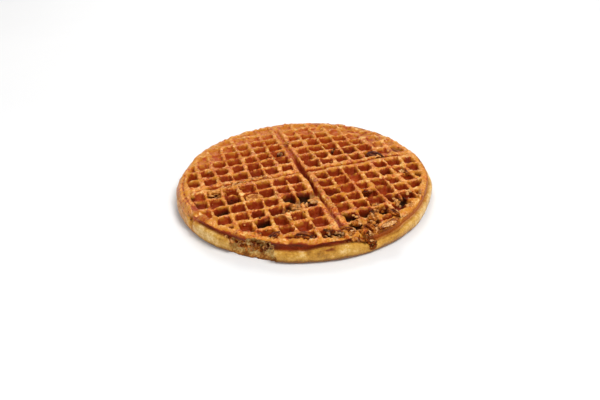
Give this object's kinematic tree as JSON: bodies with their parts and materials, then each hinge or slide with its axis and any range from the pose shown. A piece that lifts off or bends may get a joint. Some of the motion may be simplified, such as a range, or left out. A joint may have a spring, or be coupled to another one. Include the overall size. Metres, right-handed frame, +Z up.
{
  "type": "round waffle with pecans",
  "caption": "Round baked waffle with a deep square grid quartered by a cross of grooves, a thin overflow lip torn at one side, and pecan pieces set in its crust.",
  "frame": {"origin": "middle of the round footprint, on the flat underside", "axes": "+Z up out of the browned top; Y runs along the deep divider groove and X along the shallow one, with the torn lip at -X -Y"},
  "size_m": [0.18, 0.1797, 0.0155],
  "materials": {
    "golden_crust": "baked batter: golden ridges, red-brown pocket floors, pale yellow lip, satin where syrup or butter lies",
    "nut_brown": "toasted pecan kernel: brown skin, paler broken faces, slight oily sheen"
  },
  "bodies": {
    "root": {"waffle": "golden_crust", "pecan_01": "nut_brown", "pecan_02": "nut_brown", "pecan_03": "nut_brown", "pecan_04": "nut_brown", "pecan_05": "nut_brown", "pecan_06": "nut_brown", "pecan_07": "nut_brown", "pecan_08": "nut_brown", "pecan_09": "nut_brown", "pecan_10": "nut_brown", "pecan_11": "nut_brown", "pecan_12": "nut_brown", "pecan_13": "nut_brown", "pecan_14": "nut_brown"}
  },
  "joints": []
}
